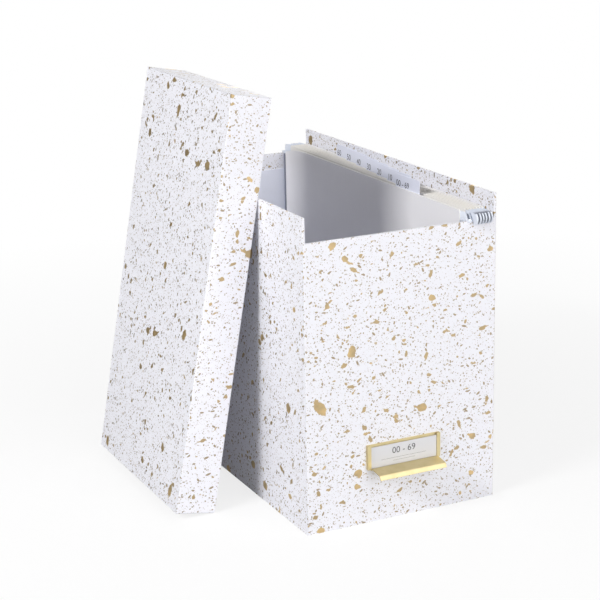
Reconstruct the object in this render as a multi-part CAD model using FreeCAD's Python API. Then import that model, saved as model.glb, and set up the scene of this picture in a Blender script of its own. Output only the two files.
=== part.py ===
"""Desktop document box: board box, lift-off lid, brass label holder and a concertina file.

Millimetres. The origin is the centre of the box's underside, +X runs to the right along the front,
the front faces -Y and +Z is up. The lid stands beside the box and leans on its left wall.
"""
import FreeCAD, Part
import math
import os

V = FreeCAD.Vector

# Board box
box_width = 180.0
box_depth = 350.0
side_wall_height = 269.0
end_wall_height = 248.0
board = 2.5
corner_radius = 1.0
rim_radius = 0.5

# Paper lining inside the box and the lid
lining = 0.5
turned_in_paper = 16.0
lining_trim = 1.0

# Lid
lid_clearance = 1.0
lid_height = 36.0
lid_lean_deg = 10.3
lid_lean_gap = 0.3
lid_offset_y = -1.0

# Label holder: back plate, side channels and pull, all of one sheet
holder_sheet = 0.9
plate_width = 69.4
plate_height = 21.2
plate_bottom = 48.0
channel_depth = 1.4
channel_lip = 2.3
pull_width = 63.0
seat_radius = 1.4
seat_rise_deg = 50.0
ridge_radius = 2.5
pull_run = 10.8
pull_fall_deg = 8.0
nose_radius = 2.0
lip_run = 3.4
lip_fall_deg = 57.0

# Label card
card = 0.5
card_height = 18.5
card_side_clearance = 0.25
card_face_clearance = 0.2
card_seat_gap = 0.3

# Rivets of the label holder
rivet_spacing = 44.0
rivet_radius = 1.5
rivet_hole_clearance = 0.1
rivet_head_radius = 3.0
rivet_head = 0.5
rivet_tail_radius = 2.4
rivet_tail = 0.6
washer_radius = 4.0
washer = 0.5

# Concertina file: panels stand along the depth, pockets follow each other across the width
pocket_count = 7
pocket_clear = 2.0
near_pocket_clear = 4.6
cover_card = 1.2
divider_card = 0.8
panel_rise = 8.0
panel_corner_radius = 2.5
cover_dip_run = 44.0
cover_dip = 6.0
file_front_gap = 6.6
file_back_gap = 5.9
file_side_gap = 3.2

# Index tabs, glued behind the top edge of each panel but the last
tab_card = 0.5
tab_length = 41.5
tab_rise = 11.5
tab_glue_depth = 10.0
tab_corner_radius = 2.0
first_tab_from_front = 68.0
tab_pitch = 25.0

# Pleated gussets of the file
gusset_paper = 0.4
fold_slack = 0.2
fold_gap = 0.4
bottom_fold_depth = 8.6
front_overhang = 8.0
back_overhang = 7.0
front_lap = 3.0
back_lap = 3.0
petal_run = 9.0
petal_drop = 5.0

# Places that follow from the sizes above
front_face = -box_depth / 2
back_face = box_depth / 2
right_inside = box_width / 2 - board - lining
front_inside = front_face + board + lining
back_inside = back_face - board - lining
floor_inside = board + lining

panel_front = front_inside + file_front_gap
panel_back = back_inside - file_back_gap
panel_bottom = floor_inside + fold_gap + bottom_fold_depth
panel_top = end_wall_height + panel_rise
back_cover_x = right_inside - file_side_gap - cover_card / 2

lid_width = box_width + 2 * (board + lid_clearance)
lid_length = box_depth + 2 * (board + lid_clearance)

plate_front = front_face - holder_sheet
rivet_z = plate_bottom + plate_height / 2

# Two places closer than this are one
same_place = 1e-6


def block(x, y, z):
    """A box between the low and high values given for each axis."""
    size = [high - low for low, high in (x, y, z)]
    return Part.makeBox(*size, V(x[0], y[0], z[0]))


def edges_along(shape, axis, keep):
    """Straight edges that run along an axis and whose midpoint passes a test."""
    found = []
    for edge in shape.Edges:
        run = edge.Vertexes[-1].Point - edge.Vertexes[0].Point
        if run.Length > same_place and run.cross(axis).Length < same_place and keep(edge.CenterOfMass):
            found.append(edge)
    return found


def near(a, b):
    return abs(a - b) < same_place


def thin_strip(line, thickness):
    """Face between an open line and its copy one thickness to the side, with sharp corners."""
    sharp_join = 2
    return line.makeOffset2D(thickness, sharp_join, True, True)


def box_walls():
    """Four walls cut from one rounded block, the side walls over the full depth, and the base."""
    half_width = box_width / 2
    whole = block((-half_width, half_width), (front_face, back_face), (0, side_wall_height))
    upright = edges_along(whole, V(0, 0, 1), lambda point: True)
    whole = whole.makeFillet(corner_radius, upright)
    inner_half = half_width - board
    walls = {}
    for name, x in (("left_wall", (-half_width, -inner_half)), ("right_wall", (inner_half, half_width))):
        wall = whole.common(block(x, (front_face, back_face), (0, side_wall_height)))
        rim = edges_along(wall, V(0, 1, 0), lambda point: near(point.z, side_wall_height))
        walls[name] = wall.makeFillet(rim_radius, rim)
    for name, y in (
        ("front_wall", (front_face, front_face + board)),
        ("back_wall", (back_face - board, back_face)),
    ):
        wall = block((-inner_half, inner_half), y, (0, end_wall_height))
        rim = edges_along(wall, V(1, 0, 0), lambda point: near(point.z, end_wall_height))
        walls[name] = wall.makeFillet(rim_radius, rim)
    walls["front_wall"] = walls["front_wall"].cut(rivet_holes())
    inner_depth = (front_face + board, back_face - board)
    walls["base_board"] = block((-inner_half, inner_half), inner_depth, (0, board))
    return walls


def box_linings():
    """Plain sheets that cover the base and the walls below the turned-in covering paper."""
    x = (-box_width / 2 + board, box_width / 2 - board)
    y = (front_face + board, back_face - board)
    z = (floor_inside, end_wall_height - turned_in_paper)
    between_ends = (y[0] + lining, y[1] - lining)
    front = block(x, (y[0], y[0] + lining), z).cut(rivet_holes())
    return {
        "lining_base": block(x, y, (board, floor_inside)),
        "lining_front": front,
        "lining_back": block(x, (y[1] - lining, y[1]), z),
        "lining_left": block((x[0], x[0] + lining), between_ends, z),
        "lining_right": block((x[1] - lining, x[1]), between_ends, z),
    }


def rivet_centres():
    return [-rivet_spacing / 2, rivet_spacing / 2]


def rod(x, radius, y_from, y_to):
    """A round rod along the depth, at a rivet's height."""
    return Part.makeCylinder(radius, y_to - y_from, V(x, y_from, rivet_z), V(0, 1, 0))


def rivet_holes():
    radius = rivet_radius + rivet_hole_clearance
    return Part.makeCompound([rod(x, radius, plate_front, front_inside) for x in rivet_centres()])


def holder_rivets():
    """Flat head on the plate, shank through wall and lining, tail set over the washer."""
    tail_seat = front_inside + washer
    rivets = []
    for x in rivet_centres():
        head = rod(x, rivet_head_radius, plate_front - rivet_head, plate_front)
        shank = rod(x, rivet_radius, plate_front, tail_seat)
        tail = rod(x, rivet_tail_radius, tail_seat, tail_seat + rivet_tail)
        rivets.append(head.fuse([shank, tail]).removeSplitter())
    return Part.makeCompound(rivets)


def rivet_washers():
    bore = rivet_radius + rivet_hole_clearance
    rings = []
    for x in rivet_centres():
        disc = rod(x, washer_radius, front_inside, front_inside + washer)
        rings.append(disc.cut(rod(x, bore, front_inside, front_inside + washer)))
    return Part.makeCompound(rings)


def heading(slope):
    """A step of one away from the wall, on a slope in degrees above the level."""
    turn = math.radians(slope)
    return V(0, -math.cos(turn), math.sin(turn))


def bend(start, radius, slope, new_slope):
    """Arc that carries a line on from one slope to another."""
    side = radius if new_slope > slope else -radius
    centre = start + heading(slope + 90) * side

    def at(degrees):
        return centre - heading(degrees + 90) * side

    return Part.Arc(start, at((slope + new_slope) / 2), at(new_slope))


def pull_profile():
    """Line that the visible side of the pull follows, from the top of the plate to the end of the lip.

    The plate drops into a round seat for the card. From there the line rises to a ridge, falls gently,
    rolls over the nose and ends in the lip.
    """
    x = -pull_width / 2
    foot = V(x, plate_front, plate_bottom + seat_radius)
    plate = Part.LineSegment(V(x, plate_front, plate_bottom + plate_height), foot)
    seat = bend(foot, seat_radius, -90, seat_rise_deg)
    ridge = bend(seat.EndPoint, ridge_radius, seat_rise_deg, -pull_fall_deg)
    fall = Part.LineSegment(ridge.EndPoint, ridge.EndPoint + heading(-pull_fall_deg) * pull_run)
    nose = bend(fall.EndPoint, nose_radius, -pull_fall_deg, -lip_fall_deg)
    lip = Part.LineSegment(nose.EndPoint, nose.EndPoint + heading(-lip_fall_deg) * lip_run)
    return Part.Wire([part.toShape() for part in (plate, seat, ridge, fall, nose, lip)])


def label_holder():
    """Back plate and pull bent from one strip, with a folded channel along each side."""
    strip = thin_strip(pull_profile(), -holder_sheet).extrude(V(pull_width, 0, 0))
    half = plate_width / 2
    z = (plate_bottom, plate_bottom + plate_height)
    lip_back = plate_front - channel_depth
    pieces = [block((-half, half), (plate_front, front_face), z)]
    for side in (-1, 1):
        edge, inner = side * half, side * (half - holder_sheet)
        tip = side * (half - holder_sheet - channel_lip)
        pieces.append(block(sorted((edge, inner)), (lip_back - holder_sheet, plate_front), z))
        pieces.append(block(sorted((inner, tip)), (lip_back - holder_sheet, lip_back), z))
    return strip.fuse(pieces).removeSplitter().cut(rivet_holes())


def label_card():
    """Card in front of the rivet heads, standing in the seat at the plate's foot."""
    half = plate_width / 2 - holder_sheet - card_side_clearance
    stand_off = rivet_head + card_face_clearance
    back = plate_front - stand_off
    off_middle = max(abs(seat_radius - stand_off), abs(seat_radius - stand_off - card))
    seat_height = seat_radius - math.sqrt(seat_radius**2 - off_middle**2)
    low = plate_bottom + seat_height + card_seat_gap
    return block((-half, half), (back - card, back), (low, low + card_height))


def lid_boards():
    """Lid stood on its lower end: its open side faces +X and its top board faces -X."""
    half = lid_width / 2
    y = (lid_offset_y - half, lid_offset_y + half)
    outer = block((-lid_height, 0), y, (0, lid_length))
    rounded = edges_along(outer, V(1, 0, 0), lambda point: True)
    rounded += edges_along(outer, V(0, 1, 0), lambda point: near(point.x, -lid_height))
    rounded += edges_along(outer, V(0, 0, 1), lambda point: near(point.x, -lid_height))
    outer = outer.makeFillet(corner_radius, rounded)
    under_top = (-lid_height + board, 0)
    between = (y[0] + board, y[1] - board)
    cuts = {
        "lid_top_board": block((-lid_height, -lid_height + board), y, (0, lid_length)),
        "lid_side_skirt_near": block(under_top, (y[0], y[0] + board), (0, lid_length)),
        "lid_side_skirt_far": block(under_top, (y[1] - board, y[1]), (0, lid_length)),
        "lid_end_skirt_lower": block(under_top, between, (0, board)),
        "lid_end_skirt_upper": block(under_top, between, (lid_length - board, lid_length)),
    }
    boards = {name: outer.common(cut) for name, cut in cuts.items()}
    trimmed = board + lining_trim
    boards["lid_lining"] = block(
        (-lid_height + board, -lid_height + board + lining),
        (y[0] + trimmed, y[1] - trimmed),
        (trimmed, lid_length - trimmed),
    )
    return {name: lean(shape) for name, shape in boards.items()}


def lean(shape):
    """Tip the standing lid towards the box until its rim lies against the left wall's top edge."""
    turn = math.radians(lid_lean_deg)
    reach = side_wall_height * math.tan(turn) + lid_lean_gap / math.cos(turn)
    leaned = shape.copy()
    leaned.rotate(V(), V(0, 1, 0), lid_lean_deg)
    leaned.translate(V(-box_width / 2 - reach, 0, 0))
    return leaned


def panel_centres():
    """Middle of each panel across the width, from the front cover to the back cover."""
    centres = [back_cover_x]
    for k in reversed(range(pocket_count)):
        clear = near_pocket_clear if k == 0 else pocket_clear
        cards = (panel_card(k) + panel_card(k + 1)) / 2
        centres.insert(0, centres[0] - clear - cards)
    return centres


def panel_card(k):
    return cover_card if k in (0, pocket_count) else divider_card


def corner_arc(corner, side, run, drop):
    """Arc that leaves a top edge level and comes down to an end edge, in place of a square corner.

    side is 1 or -1, the way along the depth that the corner points.
    """
    radius = (run**2 + drop**2) / (2 * drop)
    turn = math.atan2(drop, run)
    start = corner - V(0, side * run, 0)
    middle = start + V(0, side * math.sin(turn) * radius, -(1 - math.cos(turn)) * radius)
    return Part.Arc(start, middle, corner - V(0, 0, drop))


def outline_face(parts):
    """Flat face inside a closed line of arcs and points, where straight edges join what follows."""
    ends = [(part, part) if isinstance(part, V) else (part.StartPoint, part.EndPoint) for part in parts]
    edges = []
    for part, (_, here), (there, _) in zip(parts, ends, ends[1:] + ends[:1]):
        if not isinstance(part, V):
            edges.append(part.toShape())
        edges.append(Part.makeLine(here, there))
    return Part.Face(Part.Wire(edges))


def standing_sheet(x, y, z, front_corner, back_corner):
    """A standing sheet whose upper corners are rounded, each by its own run and drop."""
    front = corner_arc(V(x[0], y[0], z[1]), -1, *front_corner)
    front.reverse()
    back = corner_arc(V(x[0], y[1], z[1]), 1, *back_corner)
    face = outline_face([V(x[0], y[0], z[0]), front, back, V(x[0], y[1], z[0])])
    return face.extrude(V(x[1] - x[0], 0, 0))


def file_panels():
    """Covers and dividers, each with its index tab glued on the side away from the front cover."""
    y = (panel_front, panel_back)
    z = (panel_bottom, panel_top)
    rounded = (panel_corner_radius, panel_corner_radius)
    dipped = (cover_dip_run, cover_dip)
    tab_corner = (tab_corner_radius, tab_corner_radius)
    pieces = {}
    for k, centre in enumerate(panel_centres()):
        half = panel_card(k) / 2
        name = f"divider_{k}"
        if k == 0:
            name = "file_front_cover"
        if k == pocket_count:
            name = "file_back_cover"
        back_corner = dipped if k == 0 else rounded
        pieces[name] = standing_sheet((centre - half, centre + half), y, z, rounded, back_corner)
        if k < pocket_count:
            start = panel_front + first_tab_from_front + tab_pitch * k
            pieces[f"index_tab_{k + 1}"] = standing_sheet(
                (centre + half, centre + half + tab_card),
                (start, start + tab_length),
                (panel_top - tab_glue_depth, panel_top + tab_rise),
                tab_corner,
                tab_corner,
            )
    return pieces


def pleat_section(fold_depth, paper_side, place):
    """Flat section of a pleated strip: it lies on each panel's edge and folds out between panels.

    place turns a position across the width and a depth away from the panels' edges into a point.
    paper_side is the side of that line, 1 or -1, that the paper's thickness lies on.
    """
    centres = panel_centres()
    half_fold = gusset_paper + fold_slack / 2
    line = []
    for k, centre in enumerate(centres):
        line += [(centre - half_fold, 0), (centre + half_fold, 0)]
        if k < pocket_count:
            middle = (centre + centres[k + 1]) / 2
            line += [(middle - half_fold, fold_depth), (middle + half_fold, fold_depth)]
    path = Part.makePolygon([place(x, depth) for x, depth in line])
    return thin_strip(path, paper_side * gusset_paper)


def end_gusset(panel_edge, outward, wall_inside, wall_face, overhang, lap):
    """Pleated strip on one end of the panels, flared over the rim of the end wall.

    outward is -1 at the front and +1 at the back. Below the rim the folds stay inside the wall.
    Above it they reach out past the wall like petals, and they lap down outside it by the lap.
    """
    low = floor_inside + fold_gap
    over_rim = end_wall_height + fold_gap
    lap_end = end_wall_height - lap
    outer = wall_face + outward * overhang

    def folds(reach, bottom, top):
        depth = abs(reach - panel_edge) - gusset_paper
        section = pleat_section(depth, -outward, lambda x, run: V(x, panel_edge + outward * run, bottom))
        return section.extrude(V(0, 0, top - bottom))

    def at(y, z):
        return V(-box_width / 2, y, z)

    lower = folds(wall_inside - outward * fold_gap, low, over_rim)
    clear_of_wall = wall_face + outward * fold_gap
    petal = outline_face([
        at(panel_edge, panel_top),
        corner_arc(at(outer, panel_top), outward, petal_run, petal_drop),
        at(outer, lap_end),
        at(clear_of_wall, lap_end),
        at(clear_of_wall, over_rim),
        at(panel_edge, over_rim),
    ])
    upper = folds(outer, lap_end, panel_top).common(petal.extrude(V(box_width, 0, 0)))
    return lower.fuse(upper).removeSplitter()


def bottom_gusset():
    """Pleated strip under the panels, resting on the base lining."""
    depth = bottom_fold_depth - gusset_paper
    section = pleat_section(depth, -1, lambda x, run: V(x, panel_front, panel_bottom - run))
    return section.extrude(V(0, panel_back - panel_front, 0))


def assembly():
    nodes = {}
    nodes.update(box_walls())
    nodes.update(box_linings())
    nodes["label_holder"] = label_holder()
    nodes["label_card"] = label_card()
    nodes["holder_rivets"] = holder_rivets()
    nodes["rivet_washers"] = rivet_washers()
    nodes.update(lid_boards())
    nodes.update(file_panels())
    nodes["gusset_front"] = end_gusset(panel_front, -1, front_inside, front_face, front_overhang, front_lap)
    nodes["gusset_back"] = end_gusset(panel_back, 1, back_inside, back_face, back_overhang, back_lap)
    nodes["gusset_bottom"] = bottom_gusset()
    return nodes


os.makedirs("parts", exist_ok=True)
for name, shape in assembly().items():
    shape.exportStep(f"parts/{name}.step")
    print(name, len(shape.Solids), "solids", round(shape.Volume), "mm3", "valid", shape.isValid())
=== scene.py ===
"""Looks of the document box: paper, brass and card finishes, pleated pocket gussets, print and stage.

Laid out as an add-on and run as a script. Lengths are in metres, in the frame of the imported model.
"""
import math

import bmesh
import bpy
from bpy.props import FloatProperty, FloatVectorProperty, PointerProperty
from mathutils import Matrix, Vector


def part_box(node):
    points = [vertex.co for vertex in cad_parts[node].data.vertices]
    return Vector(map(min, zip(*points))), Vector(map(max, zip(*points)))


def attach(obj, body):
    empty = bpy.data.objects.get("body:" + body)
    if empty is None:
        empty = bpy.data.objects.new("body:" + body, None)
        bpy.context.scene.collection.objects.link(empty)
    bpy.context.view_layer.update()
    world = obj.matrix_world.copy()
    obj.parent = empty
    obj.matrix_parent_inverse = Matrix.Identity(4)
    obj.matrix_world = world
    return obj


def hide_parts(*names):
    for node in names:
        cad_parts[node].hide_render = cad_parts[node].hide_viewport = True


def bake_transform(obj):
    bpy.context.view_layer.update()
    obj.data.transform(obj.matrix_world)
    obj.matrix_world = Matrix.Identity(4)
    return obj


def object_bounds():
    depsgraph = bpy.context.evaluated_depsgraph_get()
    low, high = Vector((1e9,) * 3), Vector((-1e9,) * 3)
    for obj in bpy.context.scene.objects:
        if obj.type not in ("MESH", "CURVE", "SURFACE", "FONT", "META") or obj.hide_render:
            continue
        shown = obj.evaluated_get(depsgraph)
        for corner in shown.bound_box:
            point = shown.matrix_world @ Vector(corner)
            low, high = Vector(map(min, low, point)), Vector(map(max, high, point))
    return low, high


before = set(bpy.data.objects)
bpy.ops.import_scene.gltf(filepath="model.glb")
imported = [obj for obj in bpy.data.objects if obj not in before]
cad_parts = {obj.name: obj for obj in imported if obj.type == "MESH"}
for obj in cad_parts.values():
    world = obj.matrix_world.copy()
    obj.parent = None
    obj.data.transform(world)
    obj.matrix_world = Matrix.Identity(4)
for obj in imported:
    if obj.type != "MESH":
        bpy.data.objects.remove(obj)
cad_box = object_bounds()

bl_info = {
    "name": "Document box",
    "version": (1, 0, 0),
    "blender": (4, 5, 0),
    "location": "3D View > Sidebar > Document box",
    "description": "Dresses the packed document box: finishes, pocket gussets, print and stage",
    "category": "Object",
}

MM = 0.001

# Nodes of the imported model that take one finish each.
COVERED_BOARDS = (
    "base_board", "front_wall", "back_wall", "left_wall", "right_wall", "lid_top_board",
    "lid_side_skirt_near", "lid_side_skirt_far", "lid_end_skirt_lower", "lid_end_skirt_upper",
)
LININGS = ("lining_base", "lining_front", "lining_back", "lining_left", "lining_right", "lid_lining")
BRASS_PARTS = ("label_holder", "holder_rivets", "rivet_washers")
PANELS = ("file_front_cover", "divider_1", "divider_2", "divider_3", "divider_4", "divider_5", "divider_6",
          "file_back_cover")
PANEL_BODIES = ("file_front", "file_divider_1", "file_divider_2", "file_divider_3", "file_divider_4",
                "file_divider_5", "file_divider_6", "file_back")
GUSSET_STRIPS = ("gusset_front", "gusset_bottom", "gusset_back")
POCKETS = range(1, 8)
# Numbers of the whole file, on the label card and the first tab; the other tabs carry their own tens.
ALL_NUMBERS = "00 - 69"
# Attribute of a gusset that holds its painted shade: how deep in a fold a point lies.
PAINTED_FOLD_SHADE = "painted_fold_shade"
# How much further than its spot a drip of the splatter runs.
TAIL_REACH = 2.2


def colour(name, description, default):
    """A colour setting, in linear light."""
    return FloatVectorProperty(name=name, description=description, subtype="COLOR", size=3, min=0, max=1,
                               default=default)


def length(name, description, default):
    """A length setting, in metres."""
    return FloatProperty(name=name, description=description, subtype="DISTANCE", unit="LENGTH", min=0,
                         precision=5, default=default)


def share(name, description, default):
    """A setting between 0 and 1."""
    return FloatProperty(name=name, description=description, subtype="FACTOR", min=0, max=1, default=default)


def position(name, description, default):
    """A place, in metres."""
    return FloatVectorProperty(name=name, description=description, subtype="TRANSLATION", unit="LENGTH",
                               size=3, default=default)


def power(name, description, default):
    """A lamp's power, in watts."""
    return FloatProperty(name=name, description=description, subtype="POWER", unit="POWER", min=0,
                         default=default)


class CoveringSettings(bpy.types.PropertyGroup):
    """Splattered paper that covers the boards."""

    paper: colour("Paper", "White of the covering paper", (0.89, 0.888, 0.94))
    gold: colour("Gold", "Bright tone of the blots and flecks", (0.7, 0.51, 0.25))
    bronze: colour("Bronze", "Dark tone of the blots and flecks", (0.46, 0.345, 0.19))
    spray: colour("Spray", "Small specks of the splatter", (0.38, 0.3, 0.2))
    cloud: colour("Cloud", "Tint of the faint clouds in the covering paper", (0.6, 0.6, 0.66))
    # The darkened paper at the folds is painted shade that dims the lamps' highlight on the boards' rounded
    # edges.
    darkened: colour("Worn paper", "Covering paper where it is worn at a fold", (0.5, 0.5, 0.54))
    spot_scale: FloatProperty(name="Spot scale", description="Size of the whole splatter", min=0.2, max=5,
                              default=1)
    metal: share("Metal", "How metallic the blots and flecks are", 0.6)
    paper_roughness: share("Paper roughness", "Roughness of the bare paper", 0.6)
    spot_roughness: share("Spot roughness", "Roughness of the gold spots", 0.4)
    paper_grain: length("Paper grain", "Grain size of the covering paper", 0.0005)
    # Share of painted shade where the paper folds round a board's edge.
    edge_shade: share("Fold wear", "How worn the paper is where it folds round a board's edge", 0.5)


class PaperSettings(bpy.types.PropertyGroup):
    """Papers and cards inside the box."""

    lining: colour("Lining", "Paper that lines the box and the lid", (0.885, 0.905, 1.0))
    lining_cloud: colour("Lining clouds", "Second tint of the lining paper", (0.78, 0.8, 0.9))
    cover: colour("Covers", "Faces of the file's two covers", (0.955, 0.94, 0.945))
    divider: colour("Dividers", "Faces of the file's dividers", (0.95, 0.925, 0.88))
    panel_edge: colour("Panel edges", "Cut edges of the covers and dividers", (0.93, 0.89, 0.82))
    pale_edge: colour("Pale edges", "Palest of the cut edges", (0.98, 0.975, 0.96))
    panel_cloud: colour("Panel clouds", "Second tint of the covers and dividers", (0.62, 0.61, 0.66))
    tab: colour("Tabs", "Index tabs", (0.8, 0.82, 0.92))
    tab_cloud: colour("Tab clouds", "Second tint of the index tabs", (0.68, 0.7, 0.82))
    gusset: colour("Gussets", "Folded paper between the panels", (0.85, 0.885, 0.96))
    gusset_cloud: colour("Gusset clouds", "Second tint of the gussets", (0.52, 0.58, 0.7))
    # The fold colour is painted shade in the depth of the gussets' folds.
    fold: colour("Folds", "Depth of the gussets' folds", (0.12, 0.13, 0.18))
    label: colour("Label card", "Card in the label holder", (0.73, 0.735, 0.78))
    label_cloud: colour("Label clouds", "Second tint of the label card", (0.7, 0.7, 0.7))
    ink: colour("Ink", "Print on the tabs and the label card", (0.05, 0.05, 0.06))
    worn_ink: colour("Worn ink", "Ink where it took thinly", (0.22, 0.22, 0.24))


class BrassSettings(bpy.types.PropertyGroup):
    """Brass of the label holder and its rivets."""

    metal: colour("Brass", "Clean brass", (0.7, 0.595, 0.345))
    tarnish: colour("Tarnish", "Brass that has dulled", (0.485, 0.4, 0.165))
    roughness: share("Roughness", "Roughness of the brushed face", 0.42)


class GussetSettings(bpy.types.PropertyGroup):
    """Pleats that join the file's panels."""

    paper: length("Paper", "Thickness of the folded paper", 0.0003)
    rim_clearance: length("Rim clearance", "Room between the pleats and the rim that they pass over", 0.0007)
    lap: length("Lap", "How far the petals hang below the rim, outside the wall", 0.003)
    pinch: share("Pinch", "Width that the folds below the rim keep, pressed by the walls", 0.85)
    tuck: length("Tuck", "How far the folds below the rim stand out from the panel edges", 0.0053)
    petal_fall: length("Petal fall", "How far the petals' tops lie below the panels' tops", 0.0006)
    panel_seat: length("Panel seat", "Gap between two pleats on one panel edge", 0.0005)


class PrintSettings(bpy.types.PropertyGroup):
    """Figures on the tabs and the label card."""

    tab_figure: length("Tab figure", "Letter size of a tab's numbers", 0.0078)
    tab_indent: length("Tab indent", "From a tab's back end to where its numbers start", 0.0012)
    tab_foot: length("Tab foot", "From a panel's top edge up to the middle of its tab's numbers", 0.0034)
    card_figure: length("Card figure", "Letter size of the numbers on the label card", 0.0078)
    card_rule: length("Card rule", "Letter size of the ruled line under those numbers", 0.0036)
    ink_thickness: length("Ink thickness", "How far the ink stands off its card", 0.00003)


class StageSettings(bpy.types.PropertyGroup):
    """Camera, lamps, floor and surroundings."""

    camera_place: position("Camera place", "Where the camera stands", (-0.6462, -1.3159, 0.5687))
    camera_turn: FloatVectorProperty(
        name="Camera turn", description="Euler angles of the camera", subtype="EULER", unit="ROTATION",
        size=3, default=(math.radians(73.904), math.radians(1.128), math.radians(-26.253)))
    camera_lens: FloatProperty(name="Lens", description="Focal length on a 36 mm wide frame, in millimetres",
                               min=10, default=100.06)
    camera_shift: FloatVectorProperty(
        name="Camera shift", description="How far the picture is moved, as a share of its width", size=2,
        precision=4, default=(-0.0023, 0.0005))
    key_place: position("Key place", "Where the key lamp hangs", (-2.21, -0.64, 1.74))
    key_width: length("Key width", "Width of the key lamp, a long strip", 0.9)
    key_height: length("Key height", "Height of the key lamp", 0.2)
    key_power: power("Key power", "Power of the key lamp", 51)
    fill_place: position("Fill place", "Where the fill lamp hangs", (0.4, -3.0, 0.68))
    fill_side: length("Fill side", "Side of the square fill lamp", 2.4)
    fill_power: power("Fill power", "Power of the fill lamp", 52)
    top_place: position("Top place", "Where the top lamp hangs", (0.8, -2.2, 2.9))
    top_side: length("Top side", "Side of the square top lamp", 2.8)
    top_power: power("Top power", "Power of the top lamp", 26)
    back_place: position("Back place", "Where the weak lamp behind the object hangs", (1.9, 2.9, 0.8))
    back_side: length("Back side", "Side of the square back lamp", 1.5)
    back_power: power("Back power", "Power of the back lamp", 28)
    surroundings: share("Surroundings", "Light that comes evenly from all round", 0.2)
    bright_side: FloatVectorProperty(
        name="Bright side", description="Direction in which metal mirrors bright surroundings",
        subtype="DIRECTION", size=3, default=(0.6, -0.75, -0.2))
    mirror_middle: share("Mirror middle", "Brightness that metal mirrors from the sides", 0.53)
    mirror_swing: share("Mirror swing", "How much brighter it mirrors the bright side", 0.44)
    floor: colour("Floor", "Pale floor, as the camera sees it", (0.92, 0.92, 0.92))
    floor_bounce: colour("Floor bounce", "Floor, as it throws light back on the object", (0.66, 0.66, 0.66))
    floor_glow: share("Floor glow", "Part of the floor's white that is seen without shading near the object",
                      0.75)
    floor_fade: length("Floor fade", "Distance at which the floor is all white", 0.9)


class DocumentBoxSettings(bpy.types.PropertyGroup):
    """All settings of the document box."""

    covering: PointerProperty(type=CoveringSettings)
    papers: PointerProperty(type=PaperSettings)
    brass: PointerProperty(type=BrassSettings)
    gussets: PointerProperty(type=GussetSettings)
    printing: PointerProperty(type=PrintSettings)
    stage: PointerProperty(type=StageSettings)


class Value:
    """A shader socket that takes part in Python arithmetic: each operation adds a Math node."""

    def __init__(self, paint, socket):
        self.paint = paint
        self.socket = socket

    def _math(self, operation, *values):
        return self.paint.node("ShaderNodeMath", {"operation": operation}, dict(enumerate(values)))

    def __add__(self, other):
        return self._math("ADD", self, other)

    def __sub__(self, other):
        return self._math("SUBTRACT", self, other)

    def __rsub__(self, other):
        return self._math("SUBTRACT", other, self)

    def __mul__(self, other):
        return self._math("MULTIPLY", self, other)

    def __truediv__(self, other):
        return self._math("DIVIDE", self, other)

    def __abs__(self):
        return self._math("ABSOLUTE", self)

    __radd__ = __add__
    __rmul__ = __mul__

    def larger(self, other):
        """The larger of two values."""
        return self._math("MAXIMUM", self, other)

    def clipped(self):
        """The value kept between 0 and 1."""
        return self.paint.node("ShaderNodeClamp", values={"Value": self})

    def rise(self, start, slope):
        """0 up to a start, then rising to 1."""
        return ((self - start) * slope).clipped()

    def fall(self, end, slope):
        """1 at first, then falling to 0 at an end."""
        return ((end - self) * slope).clipped()

    def beside(self, output):
        """Another output of the same node."""
        return Value(self.paint, self.socket.node.outputs[output])


class Paint:
    """A node tree and the nodes that are added to it."""

    def __init__(self, tree):
        self.tree = tree

    def plug(self, socket, value):
        """Links a shader value to a socket, or sets the socket to a number, colour or vector."""
        if isinstance(value, Value):
            self.tree.links.new(value.socket, socket)
        elif socket.type == "RGBA" and len(value) == 3:
            socket.default_value = (*value, 1)
        else:
            socket.default_value = value

    def node(self, kind, settings=None, values=None, output=0):
        """Adds a node, sets it, fills its sockets and gives one of its outputs."""
        made = self.tree.nodes.new(kind)
        for name, setting in (settings or {}).items():
            setattr(made, name, setting)
        for socket, value in (values or {}).items():
            self.plug(made.inputs[socket], value)
        return Value(self, made.outputs[output])

    def vector(self, operation, *values, output=0):
        """A Vector Math node."""
        return self.node("ShaderNodeVectorMath", {"operation": operation}, dict(enumerate(values)), output)

    def mix(self, amount, first, second):
        """A colour between two others."""
        values = {0: amount, 6: first, 7: second}
        return self.node("ShaderNodeMix", {"data_type": "RGBA"}, values, 2)

    def place(self):
        """Where a point lies, in metres."""
        return self.node("ShaderNodeTexCoord", output="Object")

    def stretched(self, place, x=1, y=1, z=1):
        """The place with its axes scaled, which stretches a pattern the other way."""
        return self.vector("MULTIPLY", place, (x, y, z))

    def noise(self, place, grain, detail=2, output="Fac"):
        """Soft noise of a grain size."""
        values = {"Vector": place, "Scale": 1 / grain, "Detail": detail}
        return self.node("ShaderNodeTexNoise", values=values, output=output)

    def bump(self, height, depth, strength=1):
        """A surface normal from a height between 0 and 1."""
        values = {"Strength": strength, "Distance": depth, "Height": height}
        return self.node("ShaderNodeBump", values=values, output="Normal")

    def finish(self, **sockets):
        """Fills the shader's sockets, named with _ for a space."""
        shader = self.tree.nodes["Principled BSDF"]
        for name, value in sockets.items():
            self.plug(shader.inputs[name.replace("_", " ")], value)


def new_finish(name):
    """A new material and the paint to fill it with."""
    material = bpy.data.materials.new(name)
    material.use_nodes = True
    return material, Paint(material.node_tree)


def ragged(paint, place, grain, amount, detail=3):
    """The place pushed about by noise, which gives a shape a ragged outline."""
    push = paint.vector("SUBTRACT", paint.noise(place, grain, detail, "Color"), (0.5, 0.5, 0.5))
    return paint.vector("MULTIPLY_ADD", push, (amount, amount, amount), place)


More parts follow.
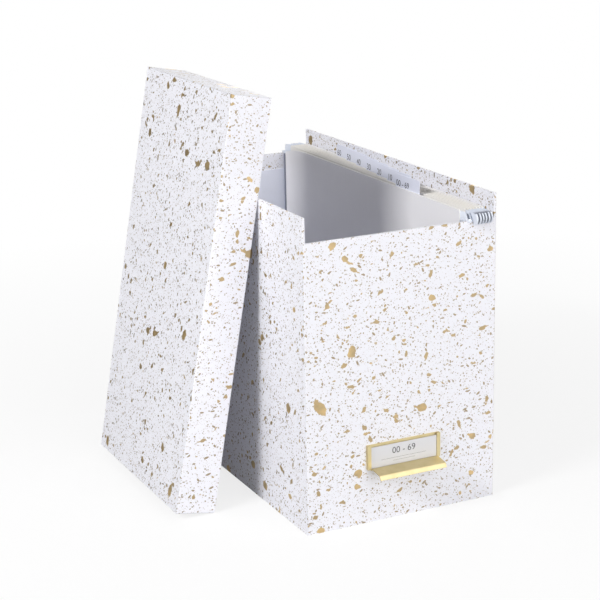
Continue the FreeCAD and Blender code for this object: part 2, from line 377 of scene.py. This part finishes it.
def spots(paint, place, cell, radius, stretch, filled, soft, tail=0):
    """Mask of paint spots, one to a cell; each is turned and sized by chance, and some cells stay empty.

    A tail is a thin drip through the spot, as a share of its radius.
    """
    cells = {"Vector": place, "Scale": 1 / cell}
    centre = paint.node("ShaderNodeTexVoronoi", values=cells, output="Position")
    draw = paint.node("ShaderNodeTexWhiteNoise", values={"Vector": centre.beside("Color")}, output="Value")
    turn = paint.vector("MULTIPLY", draw.beside("Color"), (math.tau, math.tau, math.tau))
    turned = paint.node("ShaderNodeVectorRotate", {"rotation_type": "EULER_XYZ"},
                        {"Vector": paint.vector("SUBTRACT", place, centre), "Rotation": turn})
    reach = radius * ((draw - (1 - filled)) / filled).clipped()
    depth = reach - paint.vector("LENGTH", paint.stretched(turned, z=1 / stretch), output="Value")
    if tail:
        thin = tail / (TAIL_REACH * stretch)
        drip = paint.vector("LENGTH", paint.stretched(turned, z=thin), output="Value")
        depth = depth.larger(tail * reach - drip)
    return (depth / soft).clipped()


def covering_paper(look):
    """White paper under a gold splatter: fine spray, grit, dots, curled flecks and blots with tails.

    The paper is painted with shade where it folds round a board's edge, on faces that point between two
    axes, which dims the highlight there.
    """
    material, paint = new_finish("covering_paper")
    place = paint.stretched(paint.place(), *[1 / look.spot_scale] * 3)
    frayed = ragged(paint, place, 1.2 * MM, 0.6 * MM)
    curled = ragged(paint, place, 3.5 * MM, 3.6 * MM)
    bent = ragged(paint, curled, 11 * MM, 6 * MM, 1)
    spray = spots(paint, place, cell=1.2 * MM, radius=0.43 * MM, stretch=1.2, filled=1, soft=0.1 * MM)
    grit = spots(paint, place, cell=2.1 * MM, radius=0.72 * MM, stretch=1.6, filled=1, soft=0.12 * MM)
    dots = spots(paint, frayed, cell=4.4 * MM, radius=1 * MM, stretch=2.8, filled=1, soft=0.14 * MM)
    flecks = spots(paint, curled, cell=8 * MM, radius=1.9 * MM, stretch=2, filled=0.85, soft=0.2 * MM,
                   tail=0.45)
    blots = spots(paint, bent, cell=18 * MM, radius=4.6 * MM, stretch=1.6, filled=0.6, soft=0.25 * MM,
                  tail=0.45)
    specks = (0.6 * spray).larger(0.85 * grit).larger(dots)
    foil = flecks.larger(blots)
    tone = paint.noise(place, 9 * MM).rise(0.35, 3)
    unshaded_paper = paint.mix(0.035 * paint.noise(place, 60 * MM), look.paper, look.cloud)
    facing = paint.vector("ABSOLUTE", paint.node("ShaderNodeNewGeometry", output="True Normal"))
    across = paint.node("ShaderNodeSeparateXYZ", values={"Vector": facing}, output="X")
    straight = across.larger(across.beside("Y")).larger(across.beside("Z"))
    # Painted shade on the folded edges, where a face points between two axes, dims their highlight.
    paper = paint.mix(look.edge_shade * straight.fall(0.97, 5), unshaded_paper, look.darkened)
    gold = paint.mix(tone * (0.3 + 0.7 * blots), look.bronze, look.gold)
    grain = paint.noise(place, look.paper_grain, 3)
    paint.finish(
        Base_Color=paint.mix(foil, paint.mix(specks, paper, look.spray), gold),
        Metallic=specks + foil * (look.metal - specks),
        Roughness=look.paper_roughness + foil * (look.spot_roughness - look.paper_roughness),
        Normal=paint.bump(0.6 * grain + 0.5 * foil, 0.03 * MM, 0.5),
        Specular_IOR_Level=0.35,
    )
    return material


def plain_paper(name, tint, shade, fibre, roughness=0.75):
    """Uncoated paper with clouds of a second tint, fine fibres and a toothed surface."""
    material, paint = new_finish(name)
    place = paint.place()
    cloud = paint.noise(place, 25 * MM, 3)
    threads = paint.noise(ragged(paint, place, 2 * MM, 1.5 * MM), fibre, 4)
    speckle = threads.rise(0.56, 6)
    paint.finish(
        Base_Color=paint.mix((0.3 * cloud + 0.25 * speckle).clipped(), tint, shade),
        Roughness=roughness + 0.1 * (cloud - 0.5),
        Normal=paint.bump(threads, 0.05 * MM, 0.5),
        Specular_IOR_Level=0.25,
    )
    return material


def gusset_paper(papers):
    """Plain folded paper with painted shade, darker in the depth of its folds."""
    material = plain_paper("gusset_paper", papers.gusset, papers.gusset_cloud, 0.5 * MM)
    paint = Paint(material.node_tree)
    depth = paint.node("ShaderNodeAttribute", {"attribute_name": PAINTED_FOLD_SHADE}, output="Fac")
    paper = Value(paint, paint.tree.nodes["Principled BSDF"].inputs["Base Color"].links[0].from_socket)
    # Painted shade: the paper turns towards the fold colour as the attribute marks a deeper fold.
    paint.finish(Base_Color=paint.mix(0.9 * depth, paper, papers.fold))
    return material


def panel_card(name, tint, papers):
    """Coated card with a soft sheen on its faces and bare cream fibre on its cut edges."""
    material, paint = new_finish(name)
    place = paint.place()
    facing = paint.node("ShaderNodeNewGeometry", output="True Normal")
    across = abs(paint.node("ShaderNodeSeparateXYZ", values={"Vector": facing}, output="X"))
    edge = across.fall(0.7, 5)
    streaks = paint.noise(paint.stretched(place, 1, 0.9, 0.06), 1.6 * MM, 3)
    cloud = paint.noise(place, 40 * MM, 2)
    layers = paint.noise(paint.stretched(place, 1, 0.05, 1), 0.3 * MM, 2)
    stack = paint.noise(paint.stretched(place, 1, 0.002, 0), 7 * MM, 2).rise(0.4, 4)
    face = paint.mix(0.12 * cloud + 0.1 * streaks, tint, papers.panel_cloud)
    cut = paint.mix((0.2 * layers + 0.8 * stack).clipped(), papers.panel_edge, papers.pale_edge)
    paint.finish(
        Base_Color=paint.mix(edge, face, cut),
        Roughness=0.45 + 0.3 * edge + 0.1 * (streaks - 0.5),
        Normal=paint.bump(streaks, 0.04 * MM, 0.4),
    )
    return material


def brushed_brass(brass):
    """Brass brushed along the holder's width, a little dulled in clouds."""
    material, paint = new_finish("brushed_brass")
    place = paint.place()
    lines = paint.noise(paint.stretched(place, 0.02, 1, 1), 0.25 * MM, 3)
    clouds = paint.noise(place, 9 * MM, 3).rise(0.4, 2.5)
    paint.finish(
        Base_Color=paint.mix(0.35 * clouds, brass.metal, brass.tarnish),
        Metallic=1.0,
        Roughness=brass.roughness + 0.16 * (lines - 0.5) + 0.08 * clouds,
        Normal=paint.bump(lines, 0.012 * MM, 0.6),
    )
    return material


def printing_ink(papers):
    """Dark ink that takes a little unevenly."""
    material, paint = new_finish("printing_ink")
    wear = paint.noise(paint.place(), 0.4 * MM, 3)
    paint.finish(
        Base_Color=paint.mix(0.4 * wear, papers.ink, papers.worn_ink),
        Roughness=0.5 + 0.2 * wear,
    )
    return material


def give_finish(material, names):
    """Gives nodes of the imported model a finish."""
    for name in names:
        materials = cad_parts[name].data.materials
        materials.clear()
        materials.append(material)


def clear_selection():
    """Leaves edit mode and deselects every object."""
    if bpy.context.object and bpy.context.object.mode != "OBJECT":
        bpy.ops.object.mode_set(mode="OBJECT")
    bpy.ops.object.select_all(action="DESELECT")


def pick(piece):
    """Selects one piece alone and makes it active."""
    clear_selection()
    piece.select_set(True)
    bpy.context.view_layer.objects.active = piece


def select_points(test):
    """In edit mode, selects the points that pass a test on their place."""
    mesh = bpy.context.object.data
    shape = bmesh.from_edit_mesh(mesh)
    for point in shape.verts:
        point.select = test(point.co)
    shape.select_flush_mode()
    bmesh.update_edit_mesh(mesh)


def settle(piece):
    """Puts a piece's place, turn and scale into its mesh."""
    pick(piece)
    bpy.ops.object.transform_apply(location=True, rotation=True, scale=True)


def add_modifier(piece, kind, **settings):
    """Adds a modifier, sets it and applies it."""
    pick(piece)
    modifier = piece.modifiers.new(kind.title(), kind)
    for name, setting in settings.items():
        setattr(modifier, name, setting)
    bpy.ops.object.modifier_apply(modifier=modifier.name)


def draw_line(points):
    """In edit mode, draws a line through points by extruding its end from one to the next."""
    bpy.ops.mesh.primitive_plane_add(size=MM, location=points[0])
    bpy.ops.mesh.merge(type="CENTER")
    for here, there in zip(points, points[1:]):
        bpy.ops.mesh.extrude_vertices_move(TRANSFORM_OT_translate={"value": there - here})


def along(start, end, part):
    """A point part of the way between two others."""
    return start + (end - start) * part


class EndFold:
    """Places of a pleat's fold at one end of the file: inside the wall, over its rim and out as a petal."""

    petal_rows = 9
    petal_from = math.radians(-100)
    petal_to = math.radians(62)
    # Half the run of a petal's rounded outline, as a share of its overhang.
    petal_half = 0.62
    # Below the rim: where the pressed folds end, and where panel edge and fold start to turn over the rim.
    press_end = 5 * MM
    turn_edge = 1 * MM
    turn_fold = 0.6 * MM
    # Rise of the pleat's middle over the rim, and of the lowest petal row at the panel edge.
    crest_rise = 0.6 * MM
    edge_rise = 0.5 * MM
    # Between panel edge and petal: height over the rim, room left at the top, start outside and run inwards.
    over_rise = 0.8 * MM
    over_room = 1.2 * MM
    over_start = 0.4 * MM
    over_run = 3 * MM

    def __init__(self, wall, strip, outward, settings):
        panel_low, panel_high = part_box("divider_1")
        wall_low, wall_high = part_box(wall)
        strip_low, strip_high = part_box(strip)
        self.outward = outward
        self.edge = panel_low.y if outward < 0 else panel_high.y
        self.face = wall_low.y if outward < 0 else wall_high.y
        self.inner_face = wall_high.y if outward < 0 else wall_low.y
        self.reach = strip_low.y if outward < 0 else strip_high.y
        self.rim = wall_high.z
        self.bottom = panel_low.z
        self.top = panel_high.z - settings.petal_fall
        self.fold_floor = strip_low.z
        self.lap = settings.lap
        self.tuck = settings.tuck
        self.clearance = settings.rim_clearance

    def point(self, y, z):
        """A point on the end's own plane."""
        return Vector((0, y, z))

    def rows(self):
        """From the bottom up: each row's point on the panel edge, over the rim and at the fold."""
        inside = self.inner_face - self.outward * 2 * self.clearance
        middle = (self.edge + inside) / 2
        tucked = self.edge + self.outward * self.tuck
        below_rim = self.rim - self.press_end
        crest = self.rim + self.clearance
        rows = [
            (self.point(self.edge, self.bottom), self.point(self.edge, (self.bottom + self.fold_floor) / 2),
             self.point(tucked, self.fold_floor)),
            (self.point(self.edge, below_rim), self.point(self.edge, below_rim),
             self.point(tucked, below_rim)),
            (self.point(self.edge, self.rim - self.turn_edge), self.point(middle, self.rim - self.turn_edge),
             self.point(inside, self.rim - self.turn_fold)),
            (self.point(self.edge, crest), self.point(middle, crest + self.crest_rise),
             self.point(self.inner_face, crest)),
        ]
        petal_low = self.rim - self.lap
        half_height = (self.top - petal_low) / 2
        half_run = abs(self.reach - self.face) * self.petal_half
        centre_y = self.reach - self.outward * half_run
        centre_z = petal_low + half_height
        for row in range(self.petal_rows):
            part = row / (self.petal_rows - 1)
            angle = self.petal_from + (self.petal_to - self.petal_from) * part
            fold = self.point(centre_y + self.outward * half_run * math.cos(angle),
                              centre_z + half_height * math.sin(angle))
            edge_z = crest + self.edge_rise + (self.top - crest - self.edge_rise) * part
            over = self.point(self.face + self.outward * (self.over_start - self.over_run * part),
                              crest + self.over_rise + (self.top - crest - self.over_room) * part)
            rows.append((self.point(self.edge, edge_z), over, fold))
        return rows


class GussetMaker:
    """Models one pleat, one unit wide between its two panels, and copies it into each pocket."""

    # Height that the first petal keeps at the back, where the cover's corner dips.
    cover_dip = 0.3
    # Overhang that the first petal keeps at the front and at the back, where its wide pocket pulls it in.
    first_front = 0.3
    first_back = 0.5
    # Share of a pleat's width at which its ridge ends and at which its flank gets the full painted shade.
    ridge = 0.15
    flank = 0.3
    # Painted shade of the flanks inside the box, except at the back of the wide first pocket, which gets a
    # full painted shadow.
    box_shade = 0.6
    # How far the first pocket's folds bulge towards the cover inside the walls, where they stand open.
    first_bulge = 1.6 * MM
    # Shares of a pleat's width, from its middle, between which its lines move when the folds are pressed.
    fold_line = 0.01
    panel_line = 0.49
    # How fast and how much the petals' size changes from pocket to pocket.
    petal_beat = 2.4
    petal_change = 0.03
    # How near a point of the unit-wide pleat lies to the line that it belongs to.
    line_near = 0.001
    # How far from panel edge to fold each line of the pleat runs, and how far from the pleat's middle.
    lines = ((0, 0.5), (0.15, 0.34), (0.5, 0.31), (0.8, 0.29), (0.93, 0.26), (0.985, 0.15), (1, 0))

    def __init__(self, settings):
        self.settings = settings
        front = EndFold("front_wall", "gusset_front", -1, settings)
        back = EndFold("back_wall", "gusset_back", 1, settings)
        self.rows = front.rows()[::-1] + back.rows()
        self.narrowest = min(self.span(pocket)[1] for pocket in POCKETS)
        self.front = front
        self.back = back

    def at(self, row, reach):
        """A point on a row between panel edge and fold, on a curve that bends over the rim."""
        edge, over, fold = row
        return along(along(edge, over, reach), along(over, fold, reach), reach)

    def model(self):
        """Draws the pleat's lines on one side, bridges them and mirrors that side to the other."""
        clear_selection()
        bpy.ops.mesh.primitive_plane_add(size=MM)
        pleat = bpy.context.object
        pleat.name = "pocket_gusset"
        bpy.ops.object.mode_set(mode="EDIT")
        bpy.ops.mesh.select_all(action="SELECT")
        bpy.ops.mesh.delete(type="VERT")
        bpy.ops.mesh.select_mode(type="VERT")
        for reach, beside in self.lines:
            draw_line([self.at(row, reach) - Vector((beside, 0, 0)) for row in self.rows])
        for (_, first), (_, second) in zip(self.lines, self.lines[1:]):
            select_points(lambda place: min(abs(place.x + first), abs(place.x + second)) < self.line_near)
            bpy.ops.mesh.bridge_edge_loops()
        bpy.ops.object.mode_set(mode="OBJECT")
        add_modifier(pleat, "MIRROR", use_axis=(True, False, False), merge_threshold=0.0001)
        bpy.ops.object.mode_set(mode="EDIT")
        bpy.ops.mesh.select_all(action="SELECT")
        bpy.ops.mesh.remove_doubles(threshold=0.00001)
        bpy.ops.mesh.normals_make_consistent(inside=False)
        bpy.ops.object.mode_set(mode="OBJECT")
        return pleat

    def fit(self, pleat, pocket, material):
        """Copies the pleat between two panels, varies its petal and gives it the paper's thickness."""
        middle, width = self.span(pocket)
        pick(pleat)
        bpy.ops.object.duplicate()
        piece = bpy.context.object
        piece.name = f"pocket_gusset_{pocket}"
        piece.data.name = piece.name
        piece.scale.x = width
        piece.location.x = middle
        settle(piece)
        self.shade_folds(piece, pocket)
        self.press_folds(pocket)
        self.vary_petals(pocket, middle)
        add_modifier(piece, "SOLIDIFY", thickness=self.settings.paper, offset=0)
        bpy.ops.object.shade_smooth_by_angle(angle=math.radians(50))
        piece.data.materials.clear()
        piece.data.materials.append(material)
        half = (width + self.settings.panel_seat) / 2
        middle - half
        middle + half
        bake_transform(piece)
        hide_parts(*GUSSET_STRIPS)

    def span(self, pocket):
        """Middle and width of a pocket, or of the last pocket on that side."""
        pocket = min(max(pocket, POCKETS[0]), POCKETS[-1])
        panels = PANELS[pocket - 1:pocket + 1]
        near, far = (sum(corner.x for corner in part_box(panel)) / 2 for panel in panels)
        return (near + far) / 2, far - near - self.settings.panel_seat

    def in_box(self, place):
        """Tells a point of the folds inside the walls from the petals."""
        return self.front.inner_face < place.y < self.back.inner_face and place.z < self.front.rim

    def press_folds(self, pocket):
        """Presses the folds inside the walls together, and lets those of the wide first pocket bulge."""
        middle, width = self.span(pocket)
        bpy.ops.object.mode_set(mode="EDIT")
        if pocket == POCKETS[0]:
            select_points(lambda place: self.in_box(place)
                          and self.fold_line < (middle - place.x) / width < self.panel_line)
            bpy.ops.transform.translate(value=(-self.first_bulge, 0, 0))
        else:
            select_points(lambda place: self.in_box(place)
                          and abs(place.x - middle) < self.panel_line * width)
            bpy.ops.transform.resize(value=(self.settings.pinch, 1, 1), center_override=(middle, 0, 0))
        bpy.ops.object.mode_set(mode="OBJECT")

    def shade_folds(self, piece, pocket):
        """Marks how much painted shade each point gets, by how deep in a fold it lies: 0 on ridges and on
        the back petals, 1 in narrow gaps.
        """
        depth = piece.data.attributes.new(PAINTED_FOLD_SHADE, "FLOAT", "POINT")
        middle, width = self.span(pocket)
        near_gap, far_gap = (max(width, self.span(beside)[1]) for beside in (pocket - 1, pocket + 1))
        for point, mark in zip(piece.data.vertices, depth.data):
            beside = (point.co.x - middle) / width
            widest = far_gap if beside > 0 else near_gap
            flank = min(max((abs(beside) - self.ridge) / (self.flank - self.ridge), 0), 1)
            mark.value = 0
            # Painted shade on the flanks inside the walls, and a full painted shadow in the slit behind the
            # first cover's back edge.
            if self.in_box(point.co):
                painted_slit_shadow = pocket == POCKETS[0] and point.co.y > self.back.edge - MM
                mark.value = flank * (1 if painted_slit_shadow else self.box_shade)
            # Painted shade in the gaps between the front petals, stronger where the gaps are narrow.
            elif point.co.y < self.front.face:
                mark.value = flank * (self.narrowest / widest) ** 2

    def vary_petals(self, pocket, x):
        """Makes each petal a little larger or smaller than the next, as hand folding does."""
        swing = math.sin(self.petal_beat * pocket)
        for end in (self.front, self.back):
            size = 1 - self.petal_change * (1 + swing * end.outward)
            if pocket == POCKETS[0]:
                size = self.first_front if end is self.front else self.first_back
            bpy.ops.object.mode_set(mode="EDIT")
            select_points(lambda place: end.outward * (place.y - end.face) > end.clearance)
            bpy.ops.transform.resize(value=(1, size, size), center_override=(x, end.face, end.rim))
            bpy.ops.object.mode_set(mode="OBJECT")
        if pocket == POCKETS[0]:
            bpy.ops.object.mode_set(mode="EDIT")
            select_points(lambda place: place.y > self.back.edge - MM and place.z > self.back.rim)
            bpy.ops.transform.resize(value=(1, 1, self.cover_dip), center_override=(x, 0, self.back.rim))
            bpy.ops.object.mode_set(mode="OBJECT")


def print_text(name, words, size, thickness, place, turn, material, body, align="CENTER"):
    """Sets words as a thin layer of ink, makes it a mesh and lets it ride on a body."""
    clear_selection()
    bpy.ops.object.text_add(location=place, rotation=turn)
    words_object = bpy.context.object
    words_object.data.body = words
    words_object.data.size = size
    words_object.data.extrude = thickness / 2
    words_object.data.align_x = align
    words_object.data.align_y = "CENTER"
    words_object.data.resolution_u = 6
    bpy.ops.object.convert(target="MESH")
    piece = bpy.context.object
    piece.name = name
    piece.data.name = name
    settle(piece)
    bpy.ops.object.mode_set(mode="EDIT")
    bpy.ops.mesh.select_all(action="SELECT")
    bpy.ops.mesh.remove_doubles(threshold=0.000001)
    bpy.ops.object.mode_set(mode="OBJECT")
    piece.data.materials.clear()
    piece.data.materials.append(material)
    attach(piece, body)


def hang_lamp(name, place, width, height, watts):
    """Hangs a soft lamp that faces the middle of the object."""
    clear_selection()
    bpy.ops.object.light_add(type="AREA", location=place)
    lamp = bpy.context.object
    lamp.name = name
    lamp.data.energy = watts
    lamp.data.shape = "RECTANGLE"
    lamp.data.size = width
    lamp.data.size_y = height
    low, high = cad_box
    target = (Vector(low) + Vector(high)) / 2
    lamp.rotation_euler = (target - Vector(place)).to_track_quat("-Z", "Y").to_euler()


class DOCBOX_OT_cover_boards(bpy.types.Operator):
    """Cover the walls, the base and the lid with splattered paper"""

    bl_idname = "docbox.cover_boards"
    bl_label = "Cover boards"

    def execute(self, context):
        give_finish(covering_paper(context.scene.document_box.covering), COVERED_BOARDS)
        return {"FINISHED"}


class DOCBOX_OT_line_box(bpy.types.Operator):
    """Line the box and the lid with plain paper"""

    bl_idname = "docbox.line_box"
    bl_label = "Line box and lid"

    def execute(self, context):
        papers = context.scene.document_box.papers
        give_finish(plain_paper("lining_paper", papers.lining, papers.lining_cloud, 0.7 * MM), LININGS)
        return {"FINISHED"}


class DOCBOX_OT_polish_brass(bpy.types.Operator):
    """Brush the label holder, its rivets and their washers"""

    bl_idname = "docbox.polish_brass"
    bl_label = "Polish brass"

    def execute(self, context):
        give_finish(brushed_brass(context.scene.document_box.brass), BRASS_PARTS)
        return {"FINISHED"}


class DOCBOX_OT_make_panels(bpy.types.Operator):
    """Finish the file's covers, dividers and index tabs"""

    bl_idname = "docbox.make_panels"
    bl_label = "Finish panels and tabs"

    def execute(self, context):
        papers = context.scene.document_box.papers
        give_finish(panel_card("cover_card", papers.cover, papers), (PANELS[0], PANELS[-1]))
        give_finish(panel_card("divider_card", papers.divider, papers), PANELS[1:-1])
        tabs = [f"index_tab_{pocket}" for pocket in POCKETS]
        give_finish(plain_paper("tab_card", papers.tab, papers.tab_cloud, 0.5 * MM, 0.5), tabs)
        return {"FINISHED"}


class DOCBOX_OT_print_figures(bpy.types.Operator):
    """Number the index tabs, and finish and number the label card"""

    bl_idname = "docbox.print_figures"
    bl_label = "Print figures"

    # Turns of the words: on the label card, and on the tabs, which face the left wall.
    to_front = (math.radians(90), 0, 0)
    to_left = (math.radians(90), 0, math.radians(-90))
    # Height of the card's numbers above its foot, and each ruled line's letters and height.
    numbers_height = 12.4 * MM
    rules = ((24, 7.6 * MM), (12, 5.2 * MM))

    def execute(self, context):
        box = context.scene.document_box
        printing = box.printing
        ink = printing_ink(box.papers)
        for pocket in POCKETS:
            low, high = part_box(f"index_tab_{pocket}")
            panel_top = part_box(PANELS[pocket - 1])[1].z
            place = (low.x - printing.ink_thickness / 2, high.y - printing.tab_indent,
                     panel_top + printing.tab_foot)
            words = ALL_NUMBERS if pocket == POCKETS[0] else f"{10 * (pocket - 1)}"
            print_text(f"tab_number_{pocket}", words, printing.tab_figure, printing.ink_thickness, place,
                       self.to_left, ink, PANEL_BODIES[pocket - 1], "LEFT")
        label = plain_paper("label_card_paper", box.papers.label, box.papers.label_cloud, 0.4 * MM, 0.6)
        give_finish(label, ["label_card"])
        low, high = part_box("label_card")
        face = low.y - printing.ink_thickness / 2
        print_text("card_numbers", ALL_NUMBERS, printing.card_figure, printing.ink_thickness,
                   (0, face, low.z + self.numbers_height), self.to_front, ink, "card")
        for rule, (letters, height) in enumerate(self.rules, 1):
            print_text(f"card_rule_{rule}", "_" * letters, printing.card_rule, printing.ink_thickness,
                       (0, face, low.z + height), self.to_front, ink, "card")
        return {"FINISHED"}


class DOCBOX_OT_fold_gussets(bpy.types.Operator):
    """Fold a pleated gusset into each pocket of the file"""

    bl_idname = "docbox.fold_gussets"
    bl_label = "Fold gussets"

    def execute(self, context):
        box = context.scene.document_box
        maker = GussetMaker(box.gussets)
        material = gusset_paper(box.papers)
        pleat = maker.model()
        for pocket in POCKETS:
            maker.fit(pleat, pocket, material)
        bpy.data.objects.remove(pleat)
        return {"FINISHED"}


class DOCBOX_OT_set_stage(bpy.types.Operator):
    """Set up the floor, the surroundings, the lamps and the camera"""

    bl_idname = "docbox.set_stage"
    bl_label = "Set stage"

    # Side of the floor and how far the camera sees, in metres, and the width of its frame, in millimetres.
    floor_side = 40
    sight = 100
    frame_width = 36

    def execute(self, context):
        stage = context.scene.document_box.stage
        self.lay_floor(stage)
        self.light_surroundings(context.scene, stage)
        hang_lamp("key_lamp", stage.key_place, stage.key_width, stage.key_height, stage.key_power)
        hang_lamp("fill_lamp", stage.fill_place, stage.fill_side, stage.fill_side, stage.fill_power)
        hang_lamp("top_lamp", stage.top_place, stage.top_side, stage.top_side, stage.top_power)
        hang_lamp("back_lamp", stage.back_place, stage.back_side, stage.back_side, stage.back_power)
        self.place_camera(context.scene, stage)
        context.scene.view_settings.view_transform = "Standard"
        return {"FINISHED"}

    def lay_floor(self, stage):
        """Lays a pale floor that looks white to the camera but still takes the object's shadow."""
        clear_selection()
        bpy.ops.mesh.primitive_plane_add(size=self.floor_side)
        floor = bpy.context.object
        floor.name = "floor"
        material, paint = new_finish("floor_sheet")
        rays = paint.node("ShaderNodeLightPath", output="Is Camera Ray")
        mirrored = rays.beside("Is Glossy Ray").larger(rays.beside("Is Transmission Ray"))
        paint.finish(Base_Color=paint.mix(rays, stage.floor_bounce, stage.floor), Roughness=0.9,
                     Specular_IOR_Level=0.0)
        place = paint.place()
        mirror = self.mirrored_light(paint, paint.vector("NORMALIZE", place), stage)
        glow = paint.node("ShaderNodeEmission", values={"Strength": rays + mirror * mirrored})
        shaded = Value(paint, paint.tree.nodes["Principled BSDF"].outputs[0])
        away = paint.vector("LENGTH", place, output="Value")
        white = stage.floor_glow + (1 - stage.floor_glow) * (away / stage.floor_fade).clipped()
        seen = rays.larger(mirrored)
        mixed = paint.node("ShaderNodeMixShader", values={0: white * seen, 1: shaded, 2: glow})
        paint.plug(paint.tree.nodes["Material Output"].inputs["Surface"], mixed)
        floor.data.materials.append(material)

    def mirrored_light(self, paint, direction, stage):
        """Brightness that metal mirrors from a direction: white on the bright side, dim on the other."""
        side = paint.vector("DOT_PRODUCT", direction, stage.bright_side, output="Value")
        return (stage.mirror_middle + stage.mirror_swing * side).clipped()

    def light_surroundings(self, scene, stage):
        """Lights the object evenly from all round, before a background that looks white."""
        world = bpy.data.worlds.new("surroundings")
        world.use_nodes = True
        scene.world = world
        paint = Paint(world.node_tree)
        rays = paint.node("ShaderNodeLightPath", output="Is Camera Ray")
        mirrored = rays.beside("Is Glossy Ray").larger(rays.beside("Is Transmission Ray"))
        mirror = self.mirrored_light(paint, paint.node("ShaderNodeTexCoord", output="Generated"), stage)
        even = stage.surroundings
        background = world.node_tree.nodes["Background"]
        paint.plug(background.inputs["Color"], (1, 1, 1))
        paint.plug(background.inputs["Strength"], even + (1 - even) * rays + (mirror - even) * mirrored)

    def place_camera(self, scene, stage):
        """Stands the camera where the photograph was taken from."""
        clear_selection()
        bpy.ops.object.camera_add(location=stage.camera_place, rotation=stage.camera_turn)
        camera = bpy.context.object
        camera.data.sensor_width = self.frame_width
        camera.data.lens = stage.camera_lens
        camera.data.shift_x, camera.data.shift_y = stage.camera_shift
        camera.data.clip_end = self.sight
        scene.camera = camera


class DOCBOX_PT_sidebar(bpy.types.Panel):
    """Steps that dress the document box, and their settings"""

    bl_idname = "DOCBOX_PT_sidebar"
    bl_label = "Document box"
    bl_space_type = "VIEW_3D"
    bl_region_type = "UI"
    bl_category = "Document box"

    def draw(self, context):
        for step in STEPS:
            self.layout.operator(step.bl_idname)
        box = context.scene.document_box
        for group in (box.covering, box.papers, box.brass, box.gussets, box.printing, box.stage):
            column = self.layout.column()
            for setting in group.__annotations__:
                column.prop(group, setting)


STEPS = (
    DOCBOX_OT_cover_boards, DOCBOX_OT_line_box, DOCBOX_OT_polish_brass, DOCBOX_OT_make_panels,
    DOCBOX_OT_fold_gussets, DOCBOX_OT_print_figures, DOCBOX_OT_set_stage,
)
SETTINGS = (
    CoveringSettings, PaperSettings, BrassSettings, GussetSettings, PrintSettings, StageSettings,
    DocumentBoxSettings,
)
CLASSES = SETTINGS + STEPS + (DOCBOX_PT_sidebar,)


def register():
    """Registers the classes and hangs the settings on the scene."""
    for cls in CLASSES:
        bpy.utils.register_class(cls)
    bpy.types.Scene.document_box = PointerProperty(type=DocumentBoxSettings)


def unregister():
    """Takes the settings and the classes away again."""
    del bpy.types.Scene.document_box
    for cls in reversed(CLASSES):
        bpy.utils.unregister_class(cls)


def main():
    """Dresses the box step by step."""
    register()
    bpy.ops.docbox.cover_boards()
    bpy.ops.docbox.line_box()
    bpy.ops.docbox.polish_brass()
    bpy.ops.docbox.make_panels()
    bpy.ops.docbox.fold_gussets()
    bpy.ops.docbox.print_figures()
    bpy.ops.docbox.set_stage()


if __name__ == "__main__":
    main()
